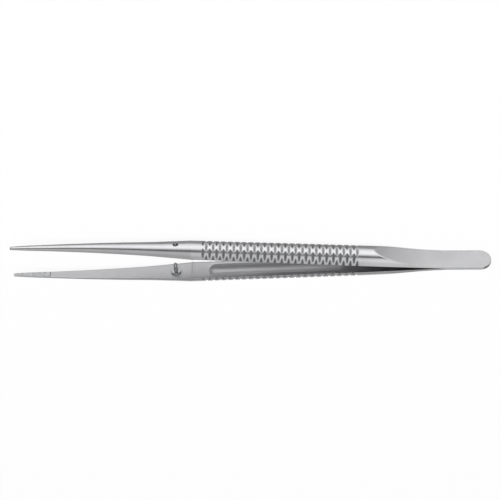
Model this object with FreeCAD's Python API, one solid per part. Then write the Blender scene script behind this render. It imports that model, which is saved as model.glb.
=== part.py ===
import FreeCAD, Part
import math
import os

from FreeCAD import Vector

# Round-handled tissue forceps with a guide pin, lying on its side, in millimetres.
# Two half-round spring arms are welded together at a flat tail. +X runs from the tail to the
# tips, Y is the direction in which the arms open, and the straps' width stands along Z.
# The origin is at the middle of the underside. The arm on the -Y side has the guide hole, and
# the arm on the +Y side carries the guide pin.

# Driving dimensions, lengths along the instrument
OVERALL_LENGTH = 180.0
WELD_LENGTH = 17.5  # tail end to the line where the straps part
GRIP_START = 48.0  # tail end to the widest place of the handle
SHOULDER = 112.7  # tail end to where the handle ends and the front part begins
FRONT_BEND_START = 128.0  # tail end to where the inner flats begin to curve inwards
JAW_LENGTH = 14.0

# Spread of the arms at rest
SPREAD_ANGLE = 3.06  # degrees between each inner flat and the middle plane

# Strap and tail
STRAP_THICKNESS = 0.75
STRAP_RADIUS = 4.47  # half width of the strap at the weld
TAIL_CORNER_RADIUS = 4.2
FACET_RADIUS = 78.0  # grinding wheel that hollows the outside of the handle down to the strap
FACET_TANGENT = 21.3  # tail end to where that hollow runs out on the strap

# Handle and front part: radii of the round outside
GRIP_REAR_RADIUS = 4.73
SHOULDER_RADIUS = 4.40
SETBACK = 0.45  # inner flat's distance from the axis of the round outside
TIP_SETBACK = 0.08
TIP_RADIUS = 0.80
NOSE_LENGTH = 0.5  # the tip rounds off over this length
NOSE_STEPS = 3

# Sections of the front part: distance from the shoulder as a share of the front's length,
# and the radius there
FRONT_SECTIONS = (
    (0.117, 3.80),
    (0.227, 3.26),
    (0.405, 2.68),
    (0.614, 2.02),
    (0.792, 1.49),
    (0.911, 1.15),
)

# Milled grip: staggered rows of lens-shaped cuts
CUT_PITCH = 2.565
CUT_DEPTH = 0.45
CUT_HALF_WIDTH = 1.40  # over half a pitch, so that neighbouring cuts meet in a crest
FIRST_CUT = 49.2  # tail end to the rearmost cut of the long rows
CUTS_IN_LONG_ROW = 24
ROW_ANGLES = (-75.0, -45.0, -15.0, 15.0, 45.0, 75.0)

# Gutter in each inner flat
GUTTER_REAR = 54.7
GUTTER_FRONT = 106.0
GUTTER_RADIUS = 4.1
GUTTER_DEPTH = 1.3

# Ridge across each inner flat at the shoulder
RIDGE_RADIUS = 1.2
RIDGE_HEIGHT = 0.3

# Guide pin, its seat and the guide hole
PIN_STATION = 118.4
PIN_DIAMETER = 1.5
PIN_LENGTH = 4.3  # above the inner flat
PIN_SEAT_DEPTH = 2.4
PIN_SEAT_CLEARANCE = 0.01
COLLAR_DIAMETER = 4.1
COLLAR_HEIGHT = 0.75
COLLAR_CHAMFER = 0.1
GUIDE_HOLE_DIAMETER = 2.1

# Serrated pad on each jaw
PAD_HEIGHT = 0.15
PAD_BURIED = 0.3
PAD_REAR_HALF_WIDTH = 1.25
PAD_FRONT_HALF_WIDTH = 0.55
PAD_END_MARGIN = 0.6
SERRATION_PITCH = 0.5
SERRATION_DEPTH = 0.1

# Places that follow from the sizes above, in each arm's own frame: x along the inner flat from
# the line where the straps part, y outwards from the flat, z across the strap
HINGE_X = WELD_LENGTH - OVERALL_LENGTH / 2
MIDDLE_HEIGHT = GRIP_REAR_RADIUS
SPREAD = math.radians(SPREAD_ANGLE)
JAW_START = OVERALL_LENGTH - JAW_LENGTH
BEND_RADIUS = (JAW_START - FRONT_BEND_START) / math.sin(SPREAD)
BAR_REACH = SHOULDER - WELD_LENGTH
OUTER_REACH = 2.0 * GRIP_REAR_RADIUS  # clears the arm on every side
STRAP_OVERRUN = 1.0  # length of strap behind the hinge line, trimmed once the arm is in place
X_AXIS = Vector(1, 0, 0)
Y_AXIS = Vector(0, 1, 0)
Z_AXIS = Vector(0, 0, 1)


def along(station):
    """Place along the arm's inner flat of a distance from the tail's end."""
    straight = min(station, FRONT_BEND_START) - WELD_LENGTH
    bend = min(max(station, FRONT_BEND_START), JAW_START) - FRONT_BEND_START
    jaw = max(station, JAW_START) - JAW_START
    turn = SPREAD - math.asin(math.sin(SPREAD) - bend / BEND_RADIUS)
    return straight / math.cos(SPREAD) + BEND_RADIUS * turn + jaw


def flat_point(x):
    """Point of the inner flat's middle line and the flat's slope in radians, at x along the arm.

    The flat is straight to the front bend, curves inwards on one arc, and runs parallel to
    the middle plane along the jaw.
    """
    bend = along(FRONT_BEND_START)
    jaw_start = along(JAW_START)
    turn = (min(max(x, bend), jaw_start) - bend) / BEND_RADIUS
    point = Vector(min(x, bend) + BEND_RADIUS * math.sin(turn), 0, 0)
    point.y = BEND_RADIUS * (math.cos(turn) - 1.0)
    if x > jaw_start:
        run = x - jaw_start
        point += Vector(run * math.cos(SPREAD), -run * math.sin(SPREAD), 0)
    return point, -turn


def half_round_wire(x, radius, setback):
    """Closed half-round section across the arm: a chord on the inner flat and an arc outside."""
    point, slope = flat_point(x)
    normal = Vector(-math.sin(slope), math.cos(slope), 0)
    half_chord = math.sqrt(radius**2 - setback**2)
    low = point - Z_AXIS * half_chord
    high = point + Z_AXIS * half_chord
    crown = point + normal * (radius - setback)
    arc = Part.Arc(low, crown, high).toShape()
    return Part.Wire([arc, Part.LineSegment(high, low).toShape()])


def round_bar():
    """Strap and handle as one turned bar, split along the inner flat."""
    profile = Part.makePolygon(
        [
            Vector(-STRAP_OVERRUN, 0, 0),
            Vector(-STRAP_OVERRUN, STRAP_RADIUS, 0),
            Vector(0, STRAP_RADIUS, 0),
            Vector(along(GRIP_START), GRIP_REAR_RADIUS, 0),
            Vector(along(SHOULDER), SHOULDER_RADIUS, 0),
            Vector(along(SHOULDER), 0, 0),
            Vector(-STRAP_OVERRUN, 0, 0),
        ]
    )
    bar = Part.Face(profile).revolve(Vector(0, 0, 0), X_AXIS, 360)
    bar.translate(Vector(0, -SETBACK, 0))
    inner_half = Part.makeBox(
        2 * BAR_REACH,
        OUTER_REACH,
        2 * OUTER_REACH,
        Vector(-2 * STRAP_OVERRUN, -OUTER_REACH, -OUTER_REACH),
    )
    return bar.cut(inner_half)


def front():
    """Tapered front part and jaw with its rounded nose, through half-round sections."""
    start = along(SHOULDER)
    length = along(OVERALL_LENGTH) - start
    wires = [half_round_wire(start, SHOULDER_RADIUS, SETBACK)]
    for share, radius in FRONT_SECTIONS:
        setback = SETBACK + (TIP_SETBACK - SETBACK) * share
        wires.append(half_round_wire(start + share * length, radius, setback))
    nose_start = start + length - NOSE_LENGTH
    for step in range(NOSE_STEPS):
        turn = math.pi / 2 * step / NOSE_STEPS
        x = nose_start + NOSE_LENGTH * math.sin(turn)
        wires.append(half_round_wire(x, TIP_RADIUS * math.cos(turn), TIP_SETBACK))
    blunt_end = half_round_wire(start + length, 2 * TIP_SETBACK, TIP_SETBACK)
    return Part.makeLoft(wires + [blunt_end], True, True)


def facet_cutter():
    """Everything outside the strap's face and the hollow that rises from it to the handle."""
    wheel_centre = Vector(along(FACET_TANGENT), STRAP_THICKNESS + FACET_RADIUS, -OUTER_REACH)
    wheel = Part.makeCylinder(FACET_RADIUS, 2 * OUTER_REACH, wheel_centre, Z_AXIS)
    over_strap = Part.makeBox(
        along(FACET_TANGENT) + 2 * STRAP_OVERRUN,
        OUTER_REACH,
        2 * OUTER_REACH,
        Vector(-2 * STRAP_OVERRUN, STRAP_THICKNESS, -OUTER_REACH),
    )
    return wheel.fuse(over_strap)


def gutter_cutter():
    """Round-bottomed channel with a round run-out at each end."""
    height = GUTTER_DEPTH - GUTTER_RADIUS
    half_chord = math.sqrt(GUTTER_RADIUS**2 - height**2)
    rear = along(GUTTER_REAR) + half_chord
    front_end = along(GUTTER_FRONT) - half_chord
    channel = Part.makeCylinder(
        GUTTER_RADIUS, front_end - rear, Vector(rear, height, 0), X_AXIS
    )
    for end in (rear, front_end):
        channel = channel.fuse(Part.makeSphere(GUTTER_RADIUS, Vector(end, height, 0)))
    return channel


def bar_radius(x):
    """Radius of the handle's round outside at x along the arm."""
    start = along(GRIP_START)
    share = (x - start) / (along(SHOULDER) - start)
    return GRIP_REAR_RADIUS + (SHOULDER_RADIUS - GRIP_REAR_RADIUS) * share


def grip_cut(x, angle):
    """One V-shaped cut straight across the round outside, in the row at an angle to its crown."""
    bottom = bar_radius(x) - CUT_DEPTH
    mouth = bottom + 2 * CUT_DEPTH
    spread = 2 * CUT_HALF_WIDTH
    reach = bar_radius(x)
    outline = Part.makePolygon(
        [
            Vector(x, bottom, -reach),
            Vector(x - spread, mouth, -reach),
            Vector(x + spread, mouth, -reach),
            Vector(x, bottom, -reach),
        ]
    )
    wedge = Part.Face(outline).extrude(Vector(0, 0, 2 * reach))
    wedge.rotate(Vector(0, 0, 0), X_AXIS, angle)
    wedge.translate(Vector(0, -SETBACK, 0))
    return wedge


def grip_cutters():
    """Rows of cuts round the handle. Every second row is shifted by half a pitch."""
    cutters = []
    for row, angle in enumerate(ROW_ANGLES):
        shifted = row % 2 == 0
        count = CUTS_IN_LONG_ROW - 1 if shifted else CUTS_IN_LONG_ROW
        first = FIRST_CUT + (CUT_PITCH / 2 if shifted else 0.0)
        for number in range(count):
            cutters.append(grip_cut(along(first + number * CUT_PITCH), angle))
    return cutters


def ridge():
    """Low round ridge across the inner flat at the shoulder, kept inside the arm's outline."""
    centre = Vector(along(SHOULDER) - RIDGE_RADIUS, RIDGE_RADIUS - RIDGE_HEIGHT, -OUTER_REACH)
    bead = Part.makeCylinder(RIDGE_RADIUS, 2 * OUTER_REACH, centre, Z_AXIS)
    rear = Vector(along(SHOULDER) - 2 * RIDGE_RADIUS, -SETBACK, 0)
    outline = Part.makeCylinder(SHOULDER_RADIUS, 2 * RIDGE_RADIUS, rear, X_AXIS)
    return bead.common(outline)


def pad():
    """Raised pad on the jaw's inner flat, tapering to the tip, with fine grooves across it."""
    base, slope = flat_point(along(JAW_START))
    tangent = Vector(math.cos(slope), math.sin(slope), 0)
    normal = Vector(-math.sin(slope), math.cos(slope), 0)
    length = JAW_LENGTH - PAD_END_MARGIN
    face_start = base - normal * PAD_HEIGHT
    face_end = face_start + tangent * length
    outline = Part.makePolygon(
        [
            face_start - Z_AXIS * PAD_REAR_HALF_WIDTH,
            face_end - Z_AXIS * PAD_FRONT_HALF_WIDTH,
            face_end + Z_AXIS * PAD_FRONT_HALF_WIDTH,
            face_start + Z_AXIS * PAD_REAR_HALF_WIDTH,
            face_start - Z_AXIS * PAD_REAR_HALF_WIDTH,
        ]
    )
    solid = Part.Face(outline).extrude(normal * (PAD_HEIGHT + PAD_BURIED))
    grooves = []
    for number in range(1, int(length / SERRATION_PITCH)):
        bottom = face_start + tangent * (number * SERRATION_PITCH) + normal * SERRATION_DEPTH
        across = bottom - Z_AXIS * OUTER_REACH
        rise = normal * (2 * SERRATION_DEPTH)
        side = tangent * SERRATION_PITCH
        corners = [across, across - rise + side, across - rise - side, across]
        groove = Part.Face(Part.makePolygon(corners)).extrude(Z_AXIS * (2 * OUTER_REACH))
        grooves.append(groove)
    return solid.cut(Part.makeCompound(grooves))


def blank_arm():
    """One arm without hole or pin seat, in its own frame."""
    arm = round_bar().cut(facet_cutter())
    arm = arm.fuse(front())
    arm = arm.cut(gutter_cutter())
    arm = arm.fuse([ridge(), pad()])
    return arm.cut(Part.makeCompound(grip_cutters()))


def place_arm(shape, side):
    """Moves a shape from an arm's own frame to the instrument's.

    The arm on side 1 opens towards +Y, and the one on side -1 is the same arm turned half
    round the instrument's long axis.
    """
    placed = shape.copy()
    placed.rotate(Vector(0, 0, 0), Z_AXIS, SPREAD_ANGLE)
    if side < 0:
        placed.rotate(Vector(0, 0, 0), X_AXIS, 180)
    placed.translate(Vector(HINGE_X, 0, MIDDLE_HEIGHT))
    behind_weld = Part.makeBox(
        OUTER_REACH,
        4 * OUTER_REACH,
        4 * OUTER_REACH,
        Vector(HINGE_X - OUTER_REACH, -2 * OUTER_REACH, MIDDLE_HEIGHT - 2 * OUTER_REACH),
    )
    return placed.cut(behind_weld)


def hole_arm(blank):
    """Arm on the -Y side, with the guide hole through it."""
    station = Vector(along(PIN_STATION), -OUTER_REACH, 0)
    hole = Part.makeCylinder(GUIDE_HOLE_DIAMETER / 2, 2 * OUTER_REACH, station, Y_AXIS)
    return place_arm(blank.cut(hole), -1)


def pin_arm(blank):
    """Arm on the +Y side, with the seat that the guide pin is pressed into."""
    station = Vector(along(PIN_STATION), -PIN_SEAT_DEPTH, 0)
    radius = PIN_DIAMETER / 2 + PIN_SEAT_CLEARANCE
    seat = Part.makeCylinder(radius, 2 * PIN_SEAT_DEPTH, station, Y_AXIS)
    return place_arm(blank.cut(seat), 1)


def guide_pin():
    """Pin with a domed end, its collar lying on the inner flat and its shank in the seat."""
    radius = PIN_DIAMETER / 2
    collar_radius = COLLAR_DIAMETER / 2
    dome_start = PIN_LENGTH - radius
    outline = [
        Part.LineSegment(Vector(0, PIN_SEAT_DEPTH, 0), Vector(radius, PIN_SEAT_DEPTH, 0)),
        Part.LineSegment(Vector(radius, PIN_SEAT_DEPTH, 0), Vector(radius, 0, 0)),
        Part.LineSegment(Vector(radius, 0, 0), Vector(collar_radius, 0, 0)),
        Part.LineSegment(
            Vector(collar_radius, 0, 0),
            Vector(collar_radius, COLLAR_CHAMFER - COLLAR_HEIGHT, 0),
        ),
        Part.LineSegment(
            Vector(collar_radius, COLLAR_CHAMFER - COLLAR_HEIGHT, 0),
            Vector(collar_radius - COLLAR_CHAMFER, -COLLAR_HEIGHT, 0),
        ),
        Part.LineSegment(
            Vector(collar_radius - COLLAR_CHAMFER, -COLLAR_HEIGHT, 0),
            Vector(radius, -COLLAR_HEIGHT, 0),
        ),
        Part.LineSegment(Vector(radius, -COLLAR_HEIGHT, 0), Vector(radius, -dome_start, 0)),
        Part.Arc(
            Vector(radius, -dome_start, 0),
            Vector(radius * math.cos(math.pi / 4), -dome_start - radius * math.sin(math.pi / 4), 0),
            Vector(0, -PIN_LENGTH, 0),
        ),
        Part.LineSegment(Vector(0, -PIN_LENGTH, 0), Vector(0, PIN_SEAT_DEPTH, 0)),
    ]
    face = Part.Face(Part.Wire([piece.toShape() for piece in outline]))
    pin = face.revolve(Vector(0, 0, 0), Y_AXIS, 360)
    pin.translate(Vector(along(PIN_STATION), 0, 0))
    return place_arm(pin, 1)


def tail():
    """Both strap ends, welded into one flat block with a rounded end."""
    bar = Part.makeCylinder(STRAP_RADIUS, WELD_LENGTH, Vector(-WELD_LENGTH, -SETBACK, 0), X_AXIS)
    strap = bar.common(
        Part.makeBox(
            WELD_LENGTH,
            STRAP_THICKNESS,
            2 * OUTER_REACH,
            Vector(-WELD_LENGTH, 0, -OUTER_REACH),
        )
    )
    other = strap.copy()
    other.rotate(Vector(0, 0, 0), X_AXIS, 180)
    block = strap.fuse(other).removeSplitter()
    block = block.common(tail_outline())
    block.translate(Vector(HINGE_X, 0, MIDDLE_HEIGHT))
    return block


def tail_outline():
    """Flat outline with a large radius at each rear corner, thick enough to cover the block."""
    half_width = STRAP_RADIUS
    corner = TAIL_CORNER_RADIUS
    slant = corner * (1 - math.cos(math.pi / 4))
    rear = -WELD_LENGTH
    low_arc = Part.Arc(
        Vector(rear + corner, -STRAP_THICKNESS * 2, -half_width),
        Vector(rear + slant, -STRAP_THICKNESS * 2, -half_width + slant),
        Vector(rear, -STRAP_THICKNESS * 2, -half_width + corner),
    )
    high_arc = Part.Arc(
        Vector(rear, -STRAP_THICKNESS * 2, half_width - corner),
        Vector(rear + slant, -STRAP_THICKNESS * 2, half_width - slant),
        Vector(rear + corner, -STRAP_THICKNESS * 2, half_width),
    )
    corners = [low_arc.StartPoint, low_arc.EndPoint, high_arc.StartPoint, high_arc.EndPoint]
    front_low = Vector(0, -STRAP_THICKNESS * 2, -half_width)
    front_high = Vector(0, -STRAP_THICKNESS * 2, half_width)
    edges = [
        low_arc.toShape(),
        Part.LineSegment(corners[1], corners[2]).toShape(),
        high_arc.toShape(),
        Part.LineSegment(corners[3], front_high).toShape(),
        Part.LineSegment(front_high, front_low).toShape(),
        Part.LineSegment(front_low, corners[0]).toShape(),
    ]
    return Part.Face(Part.Wire(edges)).extrude(Vector(0, 4 * STRAP_THICKNESS, 0))


def main():
    """Builds every piece and writes one file for each."""
    os.makedirs("parts", exist_ok=True)
    blank = blank_arm()
    pieces = {
        "tail": tail(),
        "hole_arm": hole_arm(blank),
        "pin_arm": pin_arm(blank),
        "guide_pin": guide_pin(),
    }
    for name, shape in pieces.items():
        shape.exportStep(f"parts/{name}.step")
        print(name, len(shape.Solids), round(shape.Volume, 2), shape.isValid())


main()
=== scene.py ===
"""Looks of a round-handled tissue forceps with a guide pin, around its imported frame.

The forceps is two half-round spring arms of satin stainless steel, welded together at a flat
tail. All shapes are worked out in millimetres in an arm's own frame: x along the inner flat from
the line where the straps part, y outwards from the flat, z across the strap.
"""

import logging
import math
from dataclasses import dataclass
from enum import Enum

import bmesh
import bpy
import numpy as np
from mathutils import Matrix, Vector


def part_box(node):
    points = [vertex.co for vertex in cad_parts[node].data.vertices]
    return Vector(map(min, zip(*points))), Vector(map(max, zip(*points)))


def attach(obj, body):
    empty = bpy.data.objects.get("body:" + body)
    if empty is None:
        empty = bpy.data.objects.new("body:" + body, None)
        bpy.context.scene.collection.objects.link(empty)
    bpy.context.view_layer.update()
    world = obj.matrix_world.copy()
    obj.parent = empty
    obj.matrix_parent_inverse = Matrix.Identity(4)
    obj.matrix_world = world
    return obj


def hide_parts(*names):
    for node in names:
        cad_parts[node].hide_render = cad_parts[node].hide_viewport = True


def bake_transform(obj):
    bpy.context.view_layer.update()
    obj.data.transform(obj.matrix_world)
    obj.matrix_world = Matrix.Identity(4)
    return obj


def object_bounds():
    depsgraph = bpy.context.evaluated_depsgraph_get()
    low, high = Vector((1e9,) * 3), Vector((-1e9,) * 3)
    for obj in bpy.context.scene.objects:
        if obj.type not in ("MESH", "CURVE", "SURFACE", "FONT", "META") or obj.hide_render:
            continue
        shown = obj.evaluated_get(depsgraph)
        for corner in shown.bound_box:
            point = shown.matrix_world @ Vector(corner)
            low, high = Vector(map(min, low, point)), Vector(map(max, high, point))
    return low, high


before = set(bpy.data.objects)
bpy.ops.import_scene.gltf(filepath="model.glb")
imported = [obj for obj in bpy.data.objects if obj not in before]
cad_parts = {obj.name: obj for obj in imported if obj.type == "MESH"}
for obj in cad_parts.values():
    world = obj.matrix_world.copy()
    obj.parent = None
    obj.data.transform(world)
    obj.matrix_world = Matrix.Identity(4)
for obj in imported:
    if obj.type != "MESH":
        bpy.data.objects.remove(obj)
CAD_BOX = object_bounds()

Array = np.ndarray
Pair = tuple[float, float]
Numbers = tuple[float, ...]
Piece = bpy.types.Object
Tree = bpy.types.NodeTree
Node = bpy.types.Node
Socket = bpy.types.NodeSocket

LOG = logging.getLogger("forceps")
MM = 0.001
DOUBLE_GAP = 0.0005  # points closer than this, in millimetres, are one point
LEAST_COSINE, LARGEST_COSINE = 0.05, 0.999  # limits that keep a section's angles and radii finite
LEAST_SQUARE = 1e-4


class Side(Enum):
    """Which arm: the one with the guide hole opens to -Y, the one with the pin to +Y."""

    HOLE = -1
    PIN = 1

    @property
    def body(self) -> str:
        """Name of the arm's body in the frame."""
        return "hole_arm" if self is Side.HOLE else "pin_arm"


def linear_colour(hex_code: str) -> tuple[float, float, float, float]:
    """Turns an sRGB hex value into linear colour.

    Args:
        hex_code: Six hex digits.

    Returns:
        Linear red, green, blue and an alpha of 1.
    """
    channels = [int(hex_code[i : i + 2], 16) / 255 for i in (0, 2, 4)]
    linear = [c / 12.92 if c <= 0.04045 else ((c + 0.055) / 1.055) ** 2.4 for c in channels]
    return (*linear, 1.0)


def smooth_curve(x: Array, knots: Array, values: Array) -> Array:
    """Smooth curve through a few points that never overshoots them.

    It is a cubic Hermite spline whose slope at each inner knot is the harmonic mean of the
    slopes on both sides, or zero where they differ in sign.

    Args:
        x: Places to work out.
        knots: Rising places of the points.
        values: Values at the knots.

    Returns:
        Values at x.
    """
    step = np.diff(knots)
    secant = np.diff(values) / step
    product = secant[:-1] * secant[1:]
    total = secant[:-1] + secant[1:]
    inner = np.where(product > 0, 2 * product / np.where(total == 0, 1, total), 0)
    slope = np.concatenate([[secant[0]], inner, [secant[-1]]])
    cell = np.clip(np.searchsorted(knots, x) - 1, 0, len(step) - 1)
    u = np.clip((x - knots[cell]) / step[cell], 0, 1)
    rise = values[cell] * (2 * u**3 - 3 * u**2 + 1) + values[cell + 1] * (3 * u**2 - 2 * u**3)
    lean = slope[cell] * (u**3 - 2 * u**2 + u) + slope[cell + 1] * (u**3 - u**2)
    return rise + lean * step[cell]


def soft_least(a: Array, b: Array, radius: float) -> Array:
    """The lesser of two surfaces, with the edge between them rounded.

    Args:
        a: First surface.
        b: Second surface.
        radius: Height by which the rounding takes the edge down.

    Returns:
        Smooth minimum: half of the sum less the root of the squared difference.
    """
    return 0.5 * (a + b - np.sqrt((a - b) ** 2 + (2 * radius) ** 2))


def steps(*spans: tuple[float, float, float]) -> Array:
    """Rising places over joined spans.

    Args:
        spans: Each span's start, end and spacing.

    Returns:
        Evenly spaced places in each span, with one place where two spans meet.
    """
    parts = [
        np.linspace(start, end, max(2, round((end - start) / gap) + 1))[:-1]
        for start, end, gap in spans
    ]
    return np.concatenate(parts + [[spans[-1][1]]])


def new_piece(name: str, points: Array, faces: list[Array], smooth_angle: float = 40.0) -> Piece:
    """Makes a mesh object from points and faces.

    Args:
        name: Name of the piece.
        points: Points in millimetres in the instrument's frame, one row each.
        faces: Arrays of point numbers, one face to a row; arrays may differ in width.
        smooth_angle: Edges that turn by more degrees than this stay sharp.

    Returns:
        The object, linked to the scene, at the origin.
    """
    corners = np.concatenate([block.ravel() for block in faces]).astype(np.int32)
    widths = np.concatenate([np.full(len(block), block.shape[1]) for block in faces])
    starts = np.concatenate([[0], np.cumsum(widths)[:-1]]).astype(np.int32)
    mesh = bpy.data.meshes.new(name)
    mesh.vertices.add(len(points))
    mesh.vertices.foreach_set("co", (points * MM).astype(np.float32).ravel())
    mesh.loops.add(len(corners))
    mesh.loops.foreach_set("vertex_index", corners)
    mesh.polygons.add(len(starts))
    mesh.polygons.foreach_set("loop_start", starts)
    mesh.update(calc_edges=True)
    mesh.validate()
    mesh.shade_smooth()
    mesh.set_sharp_from_angle(angle=math.radians(smooth_angle))
    piece = bpy.data.objects.new(name, mesh)
    bpy.context.scene.collection.objects.link(piece)
    return piece


def mark_points(mesh: bpy.types.Mesh, name: str, values: Array) -> None:
    """Stores one number for each point of a mesh as a named attribute."""
    attribute = mesh.attributes.new(name, "FLOAT", "POINT")
    attribute.data.foreach_set("value", values.astype(np.float32).ravel())


def tube_faces(rows: int, columns: int) -> list[Array]:
    """Faces of a closed tube: quads between rows, and one flat face at each end.

    Args:
        rows: Number of loops of points.
        columns: Points in each loop.

    Returns:
        Face arrays for new_piece, pointing outwards for loops that run clockwise when
        seen from the last row.
    """
    row, column = np.meshgrid(np.arange(rows - 1), np.arange(columns), indexing="ij")
    here = row * columns + column
    beside = row * columns + (column + 1) % columns
    quads = np.stack([here, beside, beside + columns, here + columns], -1).reshape(-1, 4)
    first = np.arange(columns)[::-1][None, :]
    last = (np.arange(columns) + (rows - 1) * columns)[None, :]
    return [quads, first, last]


def face_outwards(piece: Piece) -> None:
    """Merges doubled points and turns all faces outwards.

    Args:
        piece: A closed piece.
    """
    work = bmesh.new()
    work.from_mesh(piece.data)
    bmesh.ops.remove_doubles(work, verts=work.verts, dist=DOUBLE_GAP * MM)
    bmesh.ops.recalc_face_normals(work, faces=work.faces)
    work.to_mesh(piece.data)
    work.free()


@dataclass(frozen=True)
class Strap:
    """Weld, strap and spread of the arms, read from the frame where it gives them."""

    weld_length: float = 17.5
    thickness: float = 0.75
    half_width: float = 4.57
    spread_angle: float = 3.06
    bend_length: float = 2.5

    @property
    def overall_length(self) -> float:
        """Length of the instrument in the frame."""
        low, high = CAD_BOX
        return (high.x - low.x) / MM

    @property
    def hinge_x(self) -> float:
        """Place along X of the line where the straps part."""
        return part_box("tail")[1].x / MM

    @property
    def middle_height(self) -> float:
        """Height of the instrument's long axis."""
        low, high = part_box("tail")
        return (low.z + high.z) / 2 / MM


@dataclass(frozen=True)
class Course:
    """Course of an arm's inner flat: straight, one arc inwards, straight along the jaw."""

    strap: Strap = Strap()
    bend_start: float = 128.0
    jaw_length: float = 14.0

    @property
    def jaw_start(self) -> float:
        """Station, measured from the tail's end, at which the jaw begins."""
        return self.strap.overall_length - self.jaw_length

    @property
    def bend_radius(self) -> float:
        """Radius of the arc that turns the flat parallel to the middle plane."""
        spread = math.radians(self.strap.spread_angle)
        return (self.jaw_start - self.bend_start) / math.sin(spread)

    def along(self, station: Array | float) -> Array:
        """Place along the flat of a distance from the tail's end.

        Args:
            station: Distances from the tail's end.

        Returns:
            Lengths along the flat from the line where the straps part.
        """
        spread = math.radians(self.strap.spread_angle)
        straight = np.minimum(station, self.bend_start) - self.strap.weld_length
        bend = np.clip(station, self.bend_start, self.jaw_start) - self.bend_start
        jaw = np.maximum(station, self.jaw_start) - self.jaw_start
        turn = spread - np.arcsin(math.sin(spread) - bend / self.bend_radius)
        return straight / math.cos(spread) + self.bend_radius * turn + jaw

    def flat(self, x: Array) -> tuple[Array, Array, Array]:
        """Middle line of the flat and its slope.

        Near the weld the strap leaves the tail without a kink: its height follows
        2u^2 - u^3 of the bend's length times the spread's slope, which joins both straights.

        Args:
            x: Places along the flat.

        Returns:
            x and y of the line, and its slope in radians.
        """
        spread = math.radians(self.strap.spread_angle)
        bend = self.along(self.bend_start)
        jaw = self.along(self.jaw_start)
        turn = (np.clip(x, bend, jaw) - bend) / self.bend_radius
        run = np.maximum(x - jaw, 0)
        px = np.minimum(x, bend) + self.bend_radius * np.sin(turn) + run * math.cos(spread)
        py = self.bend_radius * (np.cos(turn) - 1) - run * math.sin(spread)
        length = self.strap.bend_length
        u = np.clip(x / length, 0, 1)
        ease = math.tan(spread) * length * (2 * u**2 - u**3 - u)
        lean = math.tan(spread) * (4 * u - 3 * u**2 - 1)
        return px, py + ease, np.where(u < 1, lean, 0) - turn

    def place(self, x: Array, y: Array, z: Array) -> Array:
        """Points over the flat, in the arm's own frame.

        Args:
            x: Places along the flat, one to a row.
            y: Heights above the flat, square to it, a grid.
            z: Places across the flat, a grid.

        Returns:
            Points as rows by columns by three.
        """
        px, py, slope = (line[:, None] for line in self.flat(x))
        return np.stack([px - y * np.sin(slope), py + y * np.cos(slope), z], -1)

    def to_instrument(self, points: Array, side: Side) -> Array:
        """Turns points from an arm's own frame into the instrument's.

        Args:
            points: Points of an arm, one row each.
            side: The arm they belong to.

        Returns:
            The same points, spread, turned over for the arm with the hole, and in place.
        """
        spread = math.radians(self.strap.spread_angle)
        x = points[:, 0] * math.cos(spread) - points[:, 1] * math.sin(spread)
        y = points[:, 0] * math.sin(spread) + points[:, 1] * math.cos(spread)
        height = self.strap.middle_height
        placed = np.stack([x + self.strap.hinge_x, y * side.value, points[:, 2] * side.value], -1)
        return placed + np.array([0, 0, height])


@dataclass(frozen=True)
class Grip:
    """Milled grip: staggered rows of lens-shaped cuts by a V-shaped wheel across the handle."""

    pitch: float = 2.555
    first: float = 50.7
    count: int = 23
    depth: float = 0.45
    flank_slope: float = 0.95
    wheel_nose: float = 0.04
    row_angles: Numbers = (-81.25, -48.75, -16.25, 16.25, 48.75, 81.25)
    crest_rounding: float = 0.012
    row_reach: float = 1.0  # radians to each side of a row that its cuts can touch
    margin: float = 3.0  # length before the first cut in which cuts are looked for
    loops_per_pitch: int = 20

    @property
    def reach(self) -> Pair:
        """Stations between which loops of points lie on a fixed share of the pitch."""
        return self.first - self.pitch, self.first + (self.count + 0.5) * self.pitch

    def cut(self, station: Array, angle: Array, radius: Array) -> Array:
        """Radius that the cuts leave.

        A cut in a row lowers the surface, measured along the row's direction, to the bottom
        plus the wheel's flank, a hyperbola that is a V with a small round nose. Every second
        row is shifted by half a pitch.

        Args:
            station: Distances from the tail's end, a column.
            angle: Angles round the bar's axis from the crown, a grid.
            radius: Radius before the cuts, a grid.

        Returns:
            Radius after the cuts, a grid.
        """
        left = radius
        for row, row_angle in enumerate(self.row_angles):
            first = self.first + row % 2 * self.pitch / 2
            number = np.clip(np.round((station - first) / self.pitch), 0, self.count - 1)
            away = station - first - number * self.pitch
            flank = self.flank_slope * (np.hypot(away, self.wheel_nose) - self.wheel_nose)
            off = angle - math.radians(row_angle)
            facing = np.cos(np.clip(off, -self.row_reach, self.row_reach))
            lowered = soft_least(left, (radius - self.depth + flank) / facing, self.crest_rounding)
            left = np.where(np.abs(off) < self.row_reach, lowered, left)
        return left


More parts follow.
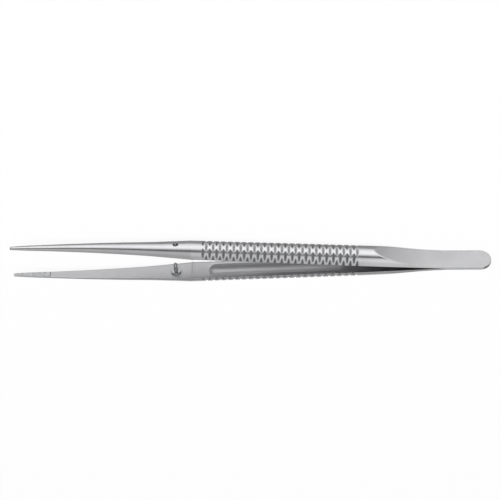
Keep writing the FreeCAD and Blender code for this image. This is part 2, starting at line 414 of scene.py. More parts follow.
@dataclass(frozen=True)
class Arm:
    """One arm: strap, hollow-ground facet, half-round handle, tapered front and jaw."""

    course: Course = Course()
    grip: Grip = Grip()
    grip_start: float = 48.0
    shoulder: float = 112.7
    rear_radius: float = 4.73
    shoulder_radius: float = 4.40
    setback: float = 0.45
    tip_setback: float = 0.08
    tip_radius: float = 0.80
    nose_length: float = 0.5
    front_shares: Numbers = (0.117, 0.227, 0.405, 0.614, 0.792, 0.911)
    front_radii: Numbers = (3.80, 3.26, 2.68, 2.02, 1.49, 1.15)
    facet_radius: float = 78.0
    facet_tangent: float = 21.3
    facet_edge: float = 0.02
    facet_reach: float = 0.5  # share of the wheel's radius along which its hollow is followed
    gutter_rear: float = 54.7
    gutter_front: float = 106.0
    gutter_radius: float = 4.1
    gutter_depth: float = 1.3
    gutter_edge: float = 0.015
    least_gutter: float = 0.02  # a shallower gutter is left out
    ridge_setback: float = 0.75
    ridge_half_width: float = 0.85
    ridge_height: float = 0.2
    pin_station: float = 118.4
    hole_diameter: float = 2.1
    drill_span: Pair = (-3.0, 8.0)  # heights above the flat
    bore_shade_tone: float = 0.5  # how much of the cuts' darker colour is painted on the bore's wall as shade
    bore_tolerance: float = 0.02
    edge_break: float = 0.07
    corner_share: float = 0.3  # where the broken edge's middle lies in its width
    shade_reach: float = 62.0  # station behind which the inner faces get painted shade, as the arms stand close and shade each other there
    shade_fade: float = 16.0
    # how dark the painted shade on the inner faces gets at most
    painted_shade_tone: float = 0.5
    least_crown_angle: float = 35.0
    least_flank: float = 0.03  # radians
    widest_channel: float = 0.7  # share of the half width that the gutter's points take at most
    crown_columns: int = 40
    flank_columns: int = 28
    gutter_columns: int = 16
    land_columns: int = 3
    hole_columns: int = 64
    nose_loops: int = 8
    facet_foot: float = 36.0  # station from which the loops lie closer, for the facet
    shoulder_margin: float = 1.0
    rear_spacings: Numbers = (0.25, 0.6, 0.16)  # of loops at the bend, strap and facet
    front_spacings: Numbers = (0.15, 0.25, 0.7, 0.5)  # at shoulder, hole, front and jaw

    @property
    def gutter_half_width(self) -> float:
        """Half of the gutter's width in the inner flat."""
        return math.sqrt(self.gutter_radius**2 - (self.gutter_depth - self.gutter_radius) ** 2)

    def stations(self) -> Array:
        """Places of the arm's loops of points, closer where the shape changes faster.

        Returns:
            Distances from the tail's end.
        """
        start = self.course.strap.weld_length
        end = self.course.strap.overall_length
        rear = (start, start + self.course.strap.bend_length, self.facet_foot)
        handle_end = self.shoulder + self.shoulder_margin
        hole_end = self.pin_station + self.hole_diameter
        front = (handle_end, hole_end, self.course.jaw_start, end - self.nose_length)
        bounds = (*rear, *self.grip.reach, *front)
        grip_spacing = self.grip.pitch / self.grip.loops_per_pitch
        spacings = (*self.rear_spacings, grip_spacing, *self.front_spacings)
        body = steps(*zip(bounds, bounds[1:], spacings))
        turn = np.linspace(0, math.pi / 2, self.nose_loops)[1:-1]
        nose = end - self.nose_length + self.nose_length * np.sin(turn)
        return np.concatenate([body, nose, [end]])

    def bar(self, x: Array) -> tuple[Array, Array]:
        """Radius of the round outside and how far its axis lies behind the inner flat.

        The radius follows one smooth curve along strap and handle and another one along the
        front, which meet at the shoulder, and rounds off to the nose as a quarter circle, which
        ends in a small face.

        Args:
            x: Places along the flat.

        Returns:
            Radius and setback at x.
        """
        course = self.course
        start = course.along(self.shoulder)
        end = course.along(course.strap.overall_length)
        rear = np.array([0.0, course.along(self.grip_start), start])
        widths = np.array([course.strap.half_width, self.rear_radius, self.shoulder_radius])
        front = [start + share * (end - start) for share in self.front_shares]
        front = np.array([start, *front, end - self.nose_length])
        radii = np.array([self.shoulder_radius, *self.front_radii, self.tip_radius])
        radius = np.where(x < start, smooth_curve(x, rear, widths), smooth_curve(x, front, radii))
        share = np.clip((x - start) / (end - start), 0, 1)
        setback = self.setback + (self.tip_setback - self.setback) * share
        nose = np.clip((x - end + self.nose_length) / self.nose_length, 0, 1)
        radius = np.maximum(radius * np.sqrt(1 - nose**2), 2 * self.tip_setback)
        return radius, setback

    def facet_height(self, x: Array) -> Array:
        """Height of the strap's face and of the hollow that a large wheel grinds behind it.

        Args:
            x: Places along the flat.

        Returns:
            Thickness of the strap, plus a circle's rise past the place where the wheel touches.
        """
        tangent = self.course.along(self.facet_tangent)
        past = np.clip(x - tangent, 0, self.facet_reach * self.facet_radius)
        rise = self.facet_radius - np.sqrt(self.facet_radius**2 - past**2)
        return self.course.strap.thickness + rise

    def inner_height(self, x: Array, z: Array) -> Array:
        """Height of the inner face above the flat: the gutter is cut in and the ridge stands out.

        The gutter is a round bar with ball ends sunk into the flat, the ridge a squared cosine.

        Args:
            x: Places along the flat, a column.
            z: Places across, a grid.

        Returns:
            Heights, a grid, positive into the arm.
        """
        course = self.course
        sink = self.gutter_depth - self.gutter_radius
        rear = course.along(self.gutter_rear) + self.gutter_half_width
        front = course.along(self.gutter_front) - self.gutter_half_width
        beyond = np.maximum(np.maximum(rear - x, x - front), 0)
        inside = np.maximum(self.gutter_radius**2 - z**2 - beyond**2, 0)
        gutter = -soft_least(-(sink + np.sqrt(inside)), np.zeros_like(z), self.gutter_edge)
        gutter = np.where(gutter < self.least_gutter, 0, gutter)
        centre = course.along(self.shoulder) - self.ridge_setback
        share = np.minimum(np.abs(x - centre) / self.ridge_half_width, 1)
        return gutter - self.ridge_height * np.cos(0.5 * math.pi * share) ** 2

    def outside_angles(self, last: Array, crown: Array) -> Array:
        """Angles round the bar's axis of the points on the round outside.

        A fixed number of points lies on the crown, between the facet's two edges, and on each
        flank, so that lines of points follow the facet's edges.

        Args:
            last: Angle of the outermost point, one to a loop.
            crown: Angle of the facet's edge, one to a loop.

        Returns:
            Angles from the crown, one row to a loop.
        """
        low = np.linspace(0, 1, self.flank_columns + 1)[:-1]
        middle = np.linspace(-1, 1, self.crown_columns + 1)
        flank = (last - crown)[:, None]
        rear = -last[:, None] + flank * low[None, :]
        front = last[:, None] - flank * low[None, ::-1]
        return np.concatenate([rear, crown[:, None] * middle[None, :], front], axis=1)

    def inner_places(self, last: Array) -> Array:
        """Places across of the points on the inner face: the gutter between two lands.

        Args:
            last: Place of the outermost point, one to a loop, as a column.

        Returns:
            Places, one row to a loop.
        """
        across = np.linspace(1, -1, self.gutter_columns + 1)
        land = np.linspace(0, 1, self.land_columns + 1)[:-1]
        channel = np.minimum(self.gutter_half_width, self.widest_channel * last)
        high = last + (channel - last) * land[None, :]
        low = -last - (channel - last) * land[None, ::-1]
        return np.concatenate([high, channel * across[None, :], low], axis=1)

    def section_loops(self) -> tuple[Array, Array, Array]:
        """Loops of points round the arm, in its own frame.

        The round outside is a radius round the bar's axis, lowered by the facet and the cuts.

        Returns:
            Points as rows by columns by three; the painted shade at each point, which is the depth
            of the cuts on the outside and, on the inner face, a painted shade that darkens towards
            the tail where the arms stand close; and one at the points of the inner flat with zero
            elsewhere.
        """
        station = self.stations()
        x = self.course.along(station)
        radius, setback = self.bar(x)
        facet = self.facet_height(x) + setback
        edge = setback + self.inner_height(x[:, None], radius[:, None])[:, 0]
        rim = np.arccos(np.clip(edge / radius, 0, LARGEST_COSINE))
        crown = np.arccos(np.clip(facet / radius, 0, 1))
        crown = np.clip(crown, math.radians(self.least_crown_angle), rim - self.least_flank)
        angle = self.outside_angles(rim - self.edge_break / radius, crown)
        round_bar = np.broadcast_to(radius[:, None], angle.shape)
        ground = facet[:, None] / np.maximum(np.cos(angle), LEAST_COSINE)
        outside = soft_least(round_bar, ground, self.facet_edge)
        near = station > self.grip.first - self.grip.margin
        near &= station < self.shoulder + self.shoulder_margin
        cut = outside.copy()
        cut[near] = self.grip.cut(station[near][:, None], angle[near], outside[near])
        # painted shade: the cuts' depth sets how much darker colour goes into them
        depth = np.clip(outside - cut, 0, None) / self.grip.depth
        y = cut * np.cos(angle) - setback[:, None]
        z = cut * np.sin(angle)
        rim_radius = 0.5 * (cut[:, :1] + cut[:, -1:])
        rim_z = np.sqrt(np.maximum(rim_radius**2 - edge[:, None] ** 2, LEAST_SQUARE))
        inner_z = self.inner_places(rim_z - self.edge_break)
        inner_y = self.inner_height(x[:, None], inner_z)
        corner_y = 0.5 * (y[:, -1:] + inner_y[:, :1])
        corner_z = rim_z - self.corner_share * self.edge_break
        loop_y = np.concatenate([y, corner_y, inner_y, corner_y], axis=1)
        loop_z = np.concatenate([z, corner_z, inner_z, -corner_z], axis=1)
        points = self.course.place(x, loop_y, loop_z)
        # painted shade: the inner faces darken towards the tail, where the arms shade each other
        inner_shade = self.painted_shade_tone * np.clip((self.shade_reach - station) / self.shade_fade, 0, 1)
        inner = np.repeat(inner_shade[:, None], points.shape[1] - depth.shape[1], axis=1)
        flat = np.zeros(points.shape[:2])
        flat[:, depth.shape[1] + 1 : -1] = 1.0
        return points, np.concatenate([depth, inner], axis=1), flat

    def build(self, side: Side) -> Piece:
        """Builds one arm.

        Args:
            side: Which arm; the one with the guide hole gets it drilled.

        Returns:
            The arm, with painted shade in its cuts and on its inner faces near the tail stored as a
            point attribute, and its inner flat marked by the attribute inner_flat.
        """
        points, depth, flat = self.section_loops()
        rows, columns = depth.shape
        placed = self.course.to_instrument(points.reshape(-1, 3), side)
        piece = new_piece(f"arm_{side.name.lower()}", placed, tube_faces(rows, columns))
        mark_points(piece.data, "painted_shade", depth)
        mark_points(piece.data, "inner_flat", flat)
        if side is Side.HOLE:
            self.drill(piece)
        return piece

    def drill(self, piece: Piece) -> None:
        """Cuts the guide hole straight through the arm, square to the inner flat.

        Args:
            piece: The arm.
        """
        around = np.linspace(0, 2 * math.pi, self.hole_columns, endpoint=False)
        radius = self.hole_diameter / 2
        x = self.course.along(self.pin_station) + radius * np.cos(around)
        ring = np.stack([x, np.zeros_like(around), radius * np.sin(around)], -1)
        points = np.array([ring + np.array([0, height, 0]) for height in self.drill_span])
        placed = self.course.to_instrument(points.reshape(-1, 3), Side.HOLE)
        drill = new_piece("drill", placed, tube_faces(2, self.hole_columns))
        face_outwards(drill)
        modifier = piece.modifiers.new("guide_hole", "BOOLEAN")
        modifier.operation = "DIFFERENCE"
        modifier.solver = "EXACT"
        modifier.object = drill
        depsgraph = bpy.context.evaluated_depsgraph_get()
        drilled = bpy.data.meshes.new_from_object(piece.evaluated_get(depsgraph))
        piece.modifiers.clear()
        piece.data = drilled
        bpy.data.objects.remove(drill)
        # paints shade inside the hole
        self.paint_bore_shade(drilled, placed)

    def paint_bore_shade(self, mesh: bpy.types.Mesh, rings: Array) -> None:
        """Paints shade on the bore's wall by giving it the darker colour of the cuts.

        Args:
            mesh: The drilled arm.
            rings: Points of the drill's first and last circle, in millimetres.
        """
        first, last = rings.reshape(2, -1, 3).mean(axis=1)
        axis = (last - first) / np.linalg.norm(last - first)
        places = np.empty(len(mesh.vertices) * 3, dtype=np.float32)
        mesh.vertices.foreach_get("co", places)
        off = places.reshape(-1, 3) / MM - first
        off -= (off @ axis)[:, None] * axis
        away = np.linalg.norm(off, axis=1) - self.hole_diameter / 2
        depth = np.empty(len(mesh.vertices), dtype=np.float32)
        attribute = mesh.attributes["painted_shade"]
        attribute.data.foreach_get("value", depth)
        # painted shade on the bore's wall
        depth[np.abs(away) < self.bore_tolerance] = self.bore_shade_tone
        attribute.data.foreach_set("value", depth)


@dataclass(frozen=True)
class JawPad:
    """Raised pad of a jaw, with fine grooves across it, let into the inner flat."""

    arm: Arm = Arm()
    height: float = 0.15
    buried: float = 0.1
    rear_half_width: float = 1.25
    front_half_width: float = 0.55
    end_margin: float = 0.6
    pitch: float = 0.5
    depth: float = 0.1
    rear_chamfer: float = 0.3
    points_per_groove: int = 8
    columns: int = 6
    sharp_from: float = 20.0

    def build(self, side: Side) -> Piece:
        """Builds the pad of one arm.

        Its face is a triangle wave along the jaw, flat at both ends, and slopes down to the
        inner flat at its rear.

        Args:
            side: The arm that carries it.

        Returns:
            The pad, with painted shade on its sloping rear end, which draws a dark line where it
            meets the inner flat.
        """
        course = self.arm.course
        length = course.jaw_length - self.end_margin
        rows = int(length / self.pitch) * self.points_per_groove + 1
        run = np.linspace(0, length, rows)
        across = np.linspace(-1, 1, self.columns + 1)
        phase = np.abs((run / self.pitch) % 1 - 0.5) * 2
        inside = (run > 0.5 * self.pitch) & (run < length - 0.5 * self.pitch)
        groove = np.where(inside, self.depth * (1 - phase), 0)
        half = self.rear_half_width + (self.front_half_width - self.rear_half_width) * run / length
        crest = np.maximum(groove - self.height, -self.height * run / self.rear_chamfer)
        top = np.repeat(crest[:, None], len(across), axis=1)
        loop_y = np.concatenate([top, np.full((rows, 2), self.buried)], axis=1)
        loop_z = half[:, None] * np.concatenate([across, [1, -1]])[None, :]
        points = course.place(course.along(course.jaw_start) + run, loop_y, loop_z)
        placed = course.to_instrument(points.reshape(-1, 3), side)
        faces = tube_faces(*loop_z.shape)
        piece = new_piece(f"jaw_pad_{side.name.lower()}", placed, faces, self.sharp_from)
        # painted shade: a dark line along the pad's rear slope
        rear_shade = np.where(run < self.rear_chamfer, 1.0, 0.0)
        mark_points(piece.data, "painted_shade", np.repeat(rear_shade, loop_z.shape[1]))
        face_outwards(piece)
        return piece


@dataclass(frozen=True)
class Tail:
    """Tail: both strap ends welded and ground into one flat block with a round end."""

    strap: Strap = Strap()
    setback: float = 0.45
    corner_radius: float = 4.3
    edge_rounding: float = 0.2
    edge_loops: int = 5
    middle_loop: float = 0.4  # share of the half thickness
    side_points: int = 24
    corner_points: int = 24
    sharp_from: float = 30.0
    flat_rings: Numbers = (0.04, 0.5)  # loops inside the edge; they keep the faces flat

    def outline(self) -> Array:
        """Half of the flat outline from the hinge line to the middle of the rear end.

        Returns:
            Points of length from the hinge line and half width, along the side and round
            the corner's quarter circle.
        """
        turn = np.linspace(0, math.pi / 2, self.corner_points)
        length = self.strap.weld_length
        start = length - self.corner_radius
        side = np.linspace(0, start, self.side_points)[:-1]
        run = np.concatenate([side, start + self.corner_radius * np.sin(turn)])
        half = self.strap.half_width
        corner = half - self.corner_radius * (1 - np.cos(turn))
        return np.stack([run, np.concatenate([np.full(len(side), half), corner])], -1)

    def build(self) -> Piece:
        """Builds the tail as loops across its thickness, closed by two flat faces.

        A loop is the outline drawn in by the bar's bow and by a quarter circle at the edges.

        Returns:
            The tail.
        """
        side = self.outline()
        half = np.concatenate([side, side[::-1] * np.array([1, -1])])
        thickness = self.strap.thickness
        turn = np.linspace(0, math.pi / 2, self.edge_loops)
        rounding = self.edge_rounding
        outer = thickness - rounding + rounding * np.sin(turn)
        upper = np.concatenate([[0.0, self.middle_loop * thickness], outer])
        levels = np.concatenate([-upper[:0:-1], upper])
        bar = self.strap.half_width
        bow = bar - np.sqrt(bar**2 - (np.abs(levels) + self.setback) ** 2)
        past = np.clip(np.abs(levels) - thickness + rounding, 0, rounding)
        round_off = rounding - np.sqrt(np.maximum(rounding**2 - past**2, 0))
        rings = np.array(self.flat_rings)
        edge = (bow + round_off)[-1]
        inset = np.concatenate([edge + rings[::-1], bow + round_off, edge + rings])
        top = np.full(len(rings), thickness)
        levels = np.concatenate([-top, levels, top])
        normal = self.rim_normals(half)
        ring = half[None, :, :] - inset[:, None, None] * normal[None, :, :]
        x = self.strap.hinge_x - ring[..., 0]
        y = np.broadcast_to(levels[:, None], x.shape)
        points = np.stack([x, y, ring[..., 1] + self.strap.middle_height], -1)
        faces = tube_faces(*x.shape)
        piece = new_piece("tail_block", points.reshape(-1, 3), faces, self.sharp_from)
        face_outwards(piece)
        return piece

    @staticmethod
    def rim_normals(outline: Array) -> Array:
        """Directions away from the outline in its plane, none of them along the hinge line.

        Args:
            outline: Points of length and half width, one row each.

        Returns:
            Unit vectors square to the line between each point's neighbours.
        """
        ahead = np.roll(outline, -1, axis=0) - np.roll(outline, 1, axis=0)
        ahead[0] = ahead[1]
        ahead[-1] = ahead[-2]
        normal = np.stack([-ahead[:, 1], ahead[:, 0]], -1)
        normal[0] = (0, 1)
        normal[-1] = (0, -1)
        return normal / np.linalg.norm(normal, axis=1, keepdims=True)


@dataclass(frozen=True)
class GuidePin:
    """Turned pin with a domed end and a collar, pressed into the arm that carries it."""

    arm: Arm = Arm()
    diameter: float = 1.5
    length: float = 4.3
    seat_depth: float = 2.4
    collar_diameter: float = 4.1
    collar_height: float = 0.75
    collar_sunk: float = 0.02
    chamfer: float = 0.1
    fillet: float = 0.12
    fillet_points: int = 6
    shank_from: float = 0.3  # height above the collar of the shank's first loop
    shank_points: int = 5
    dome_points: int = 12
    around: int = 72
    sharp_from: float = 35.0

    def profile(self) -> Array:
        """Outline of the pin, from its seat to its dome.

        Returns:
            Points of radius and height above the inner flat, one row each.
        """
        radius = self.diameter / 2
        collar = self.collar_diameter / 2
        top = self.collar_height
        sunk = -self.collar_sunk
        turn = np.linspace(0, math.pi / 2, self.dome_points)[:-1]
        bend = np.linspace(0, math.pi / 2, self.fillet_points)
        foot = [[radius, -self.seat_depth], [radius, sunk], [collar, sunk], [collar, 0.0]]
        rim = [[collar, top - self.chamfer], [collar - self.chamfer, top]]
        neck_radius = radius + self.fillet * (1 - np.sin(bend))
        neck = np.stack([neck_radius, top + self.fillet * (1 - np.cos(bend))], -1)
        dome_start = self.length - radius
        levels = np.linspace(top + self.shank_from, dome_start, self.shank_points)[:-1]
        shank = [[radius, level] for level in levels]
        dome = np.stack([radius * np.cos(turn), dome_start + radius * np.sin(turn)], -1)
        return np.concatenate([foot, rim, neck, shank, dome])

    def build(self) -> Piece:
        """Builds the pin as its profile turned round the normal of the inner flat.

        Returns:
            The pin.
        """
        profile = self.profile()
        turn = np.linspace(0, 2 * math.pi, self.around, endpoint=False)
        centre = self.arm.course.along(self.arm.pin_station)
        radius = profile[:, 0][:, None]
        x = centre + radius * np.cos(turn)[None, :]
        y = -np.broadcast_to(profile[:, 1][:, None], x.shape)
        z = radius * np.sin(turn)[None, :]
        points = np.stack([x, y, z], -1).reshape(-1, 3)
        placed = self.arm.course.to_instrument(points, Side.PIN)
        faces = tube_faces(len(profile), self.around)
        piece = new_piece("guide_pin_turned", placed, faces, self.sharp_from)
        face_outwards(piece)
        return piece


def add_node(
    tree: Tree,
    kind: str,
    settings: dict[str, object] | None = None,
    values: dict[str | int, object] | None = None,
    links: dict[str | int, Socket | Node] | None = None,
) -> Node:
    """Adds one node with its settings, socket values and incoming links.

    Args:
        tree: Node tree to add to.
        kind: Node type.
        settings: Properties of the node.
        values: Values of its input sockets.
        links: Sockets that feed its input sockets, or nodes whose first output does.

    Returns:
        The node.
    """
    node = tree.nodes.new(kind)
    for name, value in (settings or {}).items():
        setattr(node, name, value)
    for name, value in (values or {}).items():
        node.inputs[name].default_value = value
    for name, source in (links or {}).items():
        output = source if isinstance(source, Socket) else source.outputs[0]
        tree.links.new(output, node.inputs[name])
    return node


def empty_tree(owner: bpy.types.Material | bpy.types.World) -> Tree:
    """Gives a material or a world an empty node tree.

    Args:
        owner: The material or world.

    Returns:
        Its node tree.
    """
    owner.use_nodes = True
    owner.node_tree.nodes.clear()
    return owner.node_tree


def facing(elevation: float, distance: float, target: Vector) -> Matrix:
    """Placement of a lamp or camera that faces a target, in metres.

    Args:
        elevation: Degrees up from the horizon on the camera's side, over the top.
        distance: Distance from the target.
        target: Point that it faces.

    Returns:
        The matrix that puts it there.
    """
    angle = math.radians(elevation)
    away = Vector((0, -math.cos(angle), math.sin(angle)))
    place = target + away * distance
    return Matrix.Translation(place) @ Matrix.Rotation(math.pi / 2 - angle, 4, "X")


@dataclass(frozen=True)
class SteelFinish:
    """Martensitic stainless steel after blasting and a soft brush, as on surgical instruments.

    The blasting leaves an even, fine grain that spreads reflections, so the steel looks light
    grey and does not dazzle. The brush adds faint lines along the instrument. The inner flats
    are ground and left duller. A point attribute mixes in a darker colour as painted shade: in
    the cuts, on the bore's wall, along the jaw pads' rear ends and on the inner faces near the
    tail. The attribute inner_flat mixes in the ground flats' roughness.
    """

    name: str
    colour: str
    # darker colour painted in as shade: in the cuts, the bore, the pads' rear ends and the inner
    # faces near the tail
    painted_shade_colour: str
    roughness: float
    roughness_spread: float = 0.05
    flat_roughness: float = 0.36
    grain_size: float = 0.35  # blasted grain is near 0.05 mm; drawn coarser, so that it shows
    grain_height: float = 0.004
    line_width: float = 0.25  # brushed lines are near 0.05 mm apart; drawn coarser as well
    line_length: float = 12.0
    line_height: float = 0.003
    cloud_size: float = 9.0
    cloud_level: float = 0.99
    cloud_spread: float = 0.05
    noise_range: Pair = (0.3, 0.7)  # what noise mostly stays within

    def build(self) -> bpy.types.Material:
        """Builds the material.

        Returns:
            A metal whose colour, roughness and grain vary a little over the surface.
        """
        material = bpy.data.materials.new(self.name)
        tree = empty_tree(material)
        place = add_node(tree, "ShaderNodeTexCoord").outputs["Object"]
        across = 1 / (self.line_width * MM)
        stretch = (1 / (self.line_length * MM), across, across)
        along = add_node(tree, "ShaderNodeMapping", None, {"Scale": stretch}, {"Vector": place})
        patterns = (
            (place, 1 / (self.cloud_size * MM), 3.0),
            (place, 1 / (self.grain_size * MM), 2.0),
            (along, 1.0, 2.0),
        )
        cloud, grain, lines = (
            add_node(
                tree,
                "ShaderNodeTexNoise",
                values={"Scale": scale, "Detail": detail},
                links={"Vector": source},
            )
            for source, scale, detail in patterns
        )
        low, high = self.noise_range
        ranges = (
            (cloud, self.cloud_level, self.cloud_spread),
            (lines, self.roughness, self.roughness_spread),
            (lines, self.flat_roughness, self.roughness_spread),
        )
        shade, blasted, ground = (
            add_node(
                tree,
                "ShaderNodeMapRange",
                values={
                    "From Min": low,
                    "From Max": high,
                    "To Min": level - spread,
                    "To Max": level + spread,
                },
                links={"Value": pattern},
            )
            for pattern, level, spread in ranges
        )
        # point attribute of painted shade, and the mask of the inner flats
        cut, inner = (
            add_node(tree, "ShaderNodeAttribute", {"attribute_name": name}).outputs["Fac"]
            for name in ("painted_shade", "inner_flat")
        )
        # painted shade: mixes the darker colour in where the attribute says
        tone = add_node(
            tree,
            "ShaderNodeMix",
            settings={"data_type": "RGBA"},
            values={6: linear_colour(self.colour), 7: linear_colour(self.painted_shade_colour)},
            links={0: cut},
        )
        colour = add_node(
            tree,
            "ShaderNodeMix",
            settings={"data_type": "RGBA", "blend_type": "MULTIPLY"},
            values={0: 1.0},
            links={6: tone.outputs[2], 7: shade},
        )
        rough = add_node(tree, "ShaderNodeMix", links={0: inner, 2: blasted, 3: ground})
        fine = add_node(
            tree,
            "ShaderNodeBump",
            values={"Strength": 1.0, "Distance": self.grain_height * MM},
            links={"Height": grain},
        )
        brushed = add_node(
            tree,
            "ShaderNodeBump",
            values={"Strength": 1.0, "Distance": self.line_height * MM},
            links={"Height": lines, "Normal": fine},
        )
        shader = add_node(
            tree,
            "ShaderNodeBsdfPrincipled",
            values={"Metallic": 1.0},
            links={"Base Color": colour.outputs[2], "Roughness": rough, "Normal": brushed},
        )
        add_node(tree, "ShaderNodeOutputMaterial", links={"Surface": shader})
        return material


# Arms and tail: blasted and brushed, light grey without glare.
# its second colour is the painted shade of the cuts, the bore and the inner faces near the tail
ARM_STEEL = SteelFinish("blasted_stainless_steel", "DCDCDE", "A6A7AA", 0.2)
# Jaw pads: milled fine, so they look lighter, duller and mottled.
PAD_STEEL = SteelFinish(
    "serrated_stainless_steel",
    "E8E9EB",
    # painted shade for the dark line along the pads' rear ends
    "929397",
    0.32,
    grain_height=0.01,
    cloud_size=1.3,
    cloud_spread=0.2,
)
# Guide pin: turned and hardly brushed, so its highlights are sharper.
PIN_STEEL = SteelFinish("turned_stainless_steel", "CFD0D2", "A6A7AA", 0.15, line_height=0.001)


@dataclass(frozen=True)
class Softbox:
    """Large rectangular studio lamp that faces the instrument."""

    name: str
    elevation: float  # degrees up from the horizon on the camera's side, over the top
    distance: float
    length: float
    width: float
    radiance: float

    def build(self) -> None:
        """Builds the lamp, its long side along the instrument.

        It lights the floor. The steel mirrors the tent instead, so reflections leave it out.
        """
        light = bpy.data.lights.new(self.name, "AREA")
        light.shape = "RECTANGLE"
        light.size = self.length
        light.size_y = self.width
        light.energy = self.radiance * math.pi * self.length * self.width
        lamp = bpy.data.objects.new(self.name, light)
        lamp.matrix_world = facing(self.elevation, self.distance, Vector((0, 0, 0)))
        lamp.visible_glossy = False
        bpy.context.scene.collection.objects.link(lamp)


@dataclass(frozen=True)
class Studio:
    """Pale floor, light tent, lamps and the camera at the photograph's angle, in metres."""

    floor_size: float = 12.0
    floor_colour: str = "F2F2F2"
    camera_elevation: float = 45.0
    camera_distance: float = 0.600
    camera_target: tuple[float, float, float] = (0.0005, -0.00259, 0.00157)
    camera_roll: float = 179.78
    lens: float = 115.0
    sensor: float = 36.0
    nearest: float = 0.01
    white_seen: float = 0.9  # share of plain white in the floor as the camera sees it
    clearness: float = 0.65  # share of the tent below that metal and glass show in the floor
    tent_end_tone: float = 0.22
    end_fade: Pair = (0.4, 0.7)  # X of directions over which the ends' tone comes in
    tent_stops: tuple[Pair, ...] = (  # degrees from the front horizon, brightness
        (-180.0, 0.5), (-135.0, 0.3), (-90.0, 0.02), (-62.0, 0.02), (-52.0, 0.3),
        (-45.0, 0.8), (-33.0, 1.0), (-20.0, 1.35), (-8.0, 1.4), (0.0, 1.3),
        (6.0, 1.15), (13.0, 0.85), (21.0, 0.5), (28.0, 0.12), (41.0, 0.1),
        (46.0, 0.54), (62.0, 0.57), (76.0, 0.54), (86.0, 0.45), (96.0, 0.43),
        (107.0, 0.46), (140.0, 0.4), (180.0, 0.25),
    )
    tail_side_gain: float = 0.7  # how much brighter the roof is towards the tail
    gain_fade: Pair = (-0.12, 0.03)  # X of directions over which that gain ends
    lamps: tuple[Softbox, ...] = (Softbox("front_softbox", 62.0, 1.2, 1.2, 0.9, 3.8),)

    def build_floor(self) -> None:
        """Builds the floor, a sheet of milk glass over the lower half of the tent.

        To the camera it is white and keeps the object's shadow.
        """
        half = self.floor_size / 2 / MM
        corners = np.array([[-half, -half, 0], [half, -half, 0], [half, half, 0], [-half, half, 0]])
        floor = new_piece("floor", corners, [np.array([[0, 1, 2, 3]])])
        material = bpy.data.materials.new("pale_floor")
        tree = empty_tree(material)
        paint = {"Color": linear_colour(self.floor_colour)}
        paper = add_node(tree, "ShaderNodeBsdfDiffuse", values=paint)
        rays = add_node(tree, "ShaderNodeLightPath").outputs
        seen = add_node(
            tree,
            "ShaderNodeMath",
            settings={"operation": "MULTIPLY"},
            values={1: self.white_seen},
            links={0: rays["Is Camera Ray"]},
        )
        mirrored = add_node(
            tree,
            "ShaderNodeMath",
            settings={"operation": "MAXIMUM"},
            links={0: rays["Is Glossy Ray"], 1: rays["Is Transmission Ray"]},
        )
        clear = add_node(
            tree,
            "ShaderNodeMath",
            settings={"operation": "MULTIPLY"},
            values={1: self.clearness},
            links={0: mirrored},
        )
        white = add_node(tree, "ShaderNodeEmission", values={"Strength": 1.0})
        glass = add_node(tree, "ShaderNodeBsdfTransparent")
        sheet = add_node(tree, "ShaderNodeMixShader", links={0: seen, 1: paper, 2: white})
        table = add_node(tree, "ShaderNodeMixShader", links={0: clear, 1: sheet, 2: glass})
        add_node(tree, "ShaderNodeOutputMaterial", links={"Surface": table})
        floor.data.materials.append(material)

    def build_tent(self) -> None:
        """Builds the world as a light tent: strips of brightness that run along the instrument.

        The angle up from the horizon on the camera's side, over the top, sets the brightness,
        and angles below zero lie under the floor. The roof is brighter towards the tail.
        Towards both ends of the instrument the strips fade into one tone.
        """
        world = bpy.data.worlds.new("light_tent")
        bpy.context.scene.world = world
        tree = empty_tree(world)
        direction = add_node(tree, "ShaderNodeTexCoord").outputs["Generated"]
        axes = add_node(tree, "ShaderNodeSeparateXYZ", links={0: direction}).outputs
        front = add_node(
            tree,
            "ShaderNodeMath",
            settings={"operation": "MULTIPLY"},
            values={1: -1.0},
            links={0: axes["Y"]},
        )
        angle = add_node(
            tree,
            "ShaderNodeMath",
            settings={"operation": "ARCTAN2"},
            links={0: axes["Z"], 1: front},
        )
        share = add_node(
            tree,
            "ShaderNodeMath",
            settings={"operation": "MULTIPLY_ADD"},
            values={1: 0.5 / math.pi, 2: 0.5},
            links={0: angle},
        )
        ramp = add_node(tree, "ShaderNodeValToRGB", links={"Fac": share})
        self.fill_ramp(ramp.color_ramp)
        gain = add_node(
            tree,
            "ShaderNodeMapRange",
            values={
                "From Min": self.gain_fade[0],
                "From Max": self.gain_fade[1],
                "To Min": self.tail_side_gain,
                "To Max": 0.0,
            },
            links={"Value": axes["X"]},
        )
        rise = add_node(
            tree,
            "ShaderNodeMath",
            settings={"operation": "MAXIMUM"},
            values={1: 0.0},
            links={0: axes["Z"]},
        )
        tilt = add_node(
            tree,
            "ShaderNodeMath",
            settings={"operation": "MULTIPLY_ADD"},
            values={2: 1.0},
            links={0: gain, 1: rise},
        )
        strips = add_node(
            tree,
            "ShaderNodeVectorMath",
            settings={"operation": "SCALE"},
            links={0: ramp, 3: tilt},
        )
        end = add_node(
            tree, "ShaderNodeMath", settings={"operation": "ABSOLUTE"}, links={0: axes["X"]}
        )
        fade = add_node(
            tree,
            "ShaderNodeMapRange",
            settings={"interpolation_type": "SMOOTHSTEP"},
            values={"From Min": self.end_fade[0], "From Max": self.end_fade[1]},
            links={"Value": end},
        )
        tone = add_node(
            tree,
            "ShaderNodeMix",
            settings={"data_type": "RGBA"},
            values={7: (*[self.tent_end_tone] * 3, 1.0)},
            links={0: fade, 6: strips},
        )
        glow = add_node(
            tree, "ShaderNodeBackground", values={"Strength": 1.0}, links={"Color": tone.outputs[2]}
        )
        add_node(tree, "ShaderNodeOutputWorld", links={"Surface": glow})

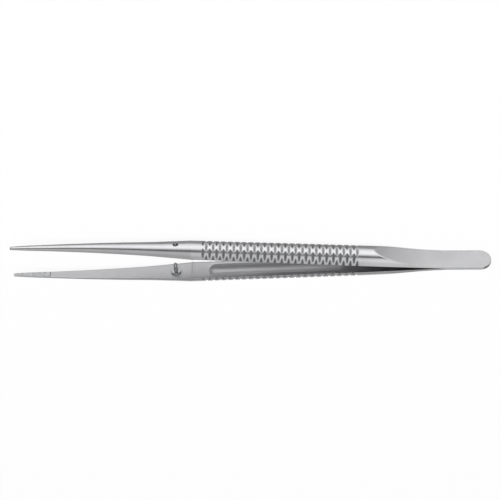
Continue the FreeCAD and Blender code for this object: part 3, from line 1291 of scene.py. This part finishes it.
    def fill_ramp(self, ramp: bpy.types.ColorRamp) -> None:
        """Sets the ramp's stops from the tent's strips.

        Args:
            ramp: The colour ramp, whose whole length is a full turn.
        """
        while len(ramp.elements) > 1:
            ramp.elements.remove(ramp.elements[-1])
        for number, (angle, brightness) in enumerate(self.tent_stops):
            place = 0.5 + angle / 360
            stop = ramp.elements[0] if number == 0 else ramp.elements.new(place)
            stop.position = place
            stop.color = (*[brightness] * 3, 1.0)

    def build_camera(self) -> None:
        """Builds the camera, turned upside down as in the photograph."""
        data = bpy.data.cameras.new("photo_camera")
        data.lens = self.lens
        data.sensor_width = self.sensor
        data.clip_start = self.nearest
        camera = bpy.data.objects.new("photo_camera", data)
        roll = Matrix.Rotation(math.radians(self.camera_roll), 4, "Z")
        target = Vector(self.camera_target)
        placed = facing(self.camera_elevation, self.camera_distance, target)
        camera.matrix_world = placed @ roll
        bpy.context.scene.collection.objects.link(camera)
        bpy.context.scene.camera = camera

    def build(self) -> None:
        """Builds all of the studio."""
        bpy.context.scene.view_settings.view_transform = "Standard"
        self.build_floor()
        self.build_tent()
        for lamp in self.lamps:
            lamp.build()
        self.build_camera()


@dataclass(frozen=True)
class Forceps:
    """The whole instrument."""

    arm: Arm = Arm()
    pad: JawPad = JawPad()
    tail: Tail = Tail()
    pin: GuidePin = GuidePin()
    flex_length: float = 26.0  # stretch of strap that bends when the arms close

    def dress(self, piece: Piece, material: bpy.types.Material, *nodes: str) -> None:
        """Gives a piece its steel and its slot, and hides the nodes that it stands for.

        Args:
            piece: The piece.
            material: Its steel.
            nodes: Nodes of the frame that it replaces.
        """
        piece.data.materials.clear()
        piece.data.materials.append(material)
        if nodes:
            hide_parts(*nodes)
        LOG.info("%s: %d points", piece.name, len(piece.data.vertices))

    def build(self) -> None:
        """Builds and dresses every piece; the pads, tail and pin ride on their bodies."""
        steel = ARM_STEEL.build()
        pad_steel = PAD_STEEL.build()
        for side in Side:
            piece = self.arm.build(side)
            self.dress(piece, steel, side.body)
            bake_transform(piece)
            pad = self.pad.build(side)
            self.dress(pad, pad_steel)
            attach(pad, side.body)
        tail = self.tail.build()
        self.dress(tail, steel, "tail")
        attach(tail, "tail")
        pin = self.pin.build()
        self.dress(pin, PIN_STEEL.build(), "guide_pin")
        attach(pin, "pin_arm")


def main() -> None:
    """Builds the instrument and its studio."""
    logging.basicConfig(level=logging.INFO)
    Forceps().build()
    Studio().build()


if __name__ == "__main__":
    main()
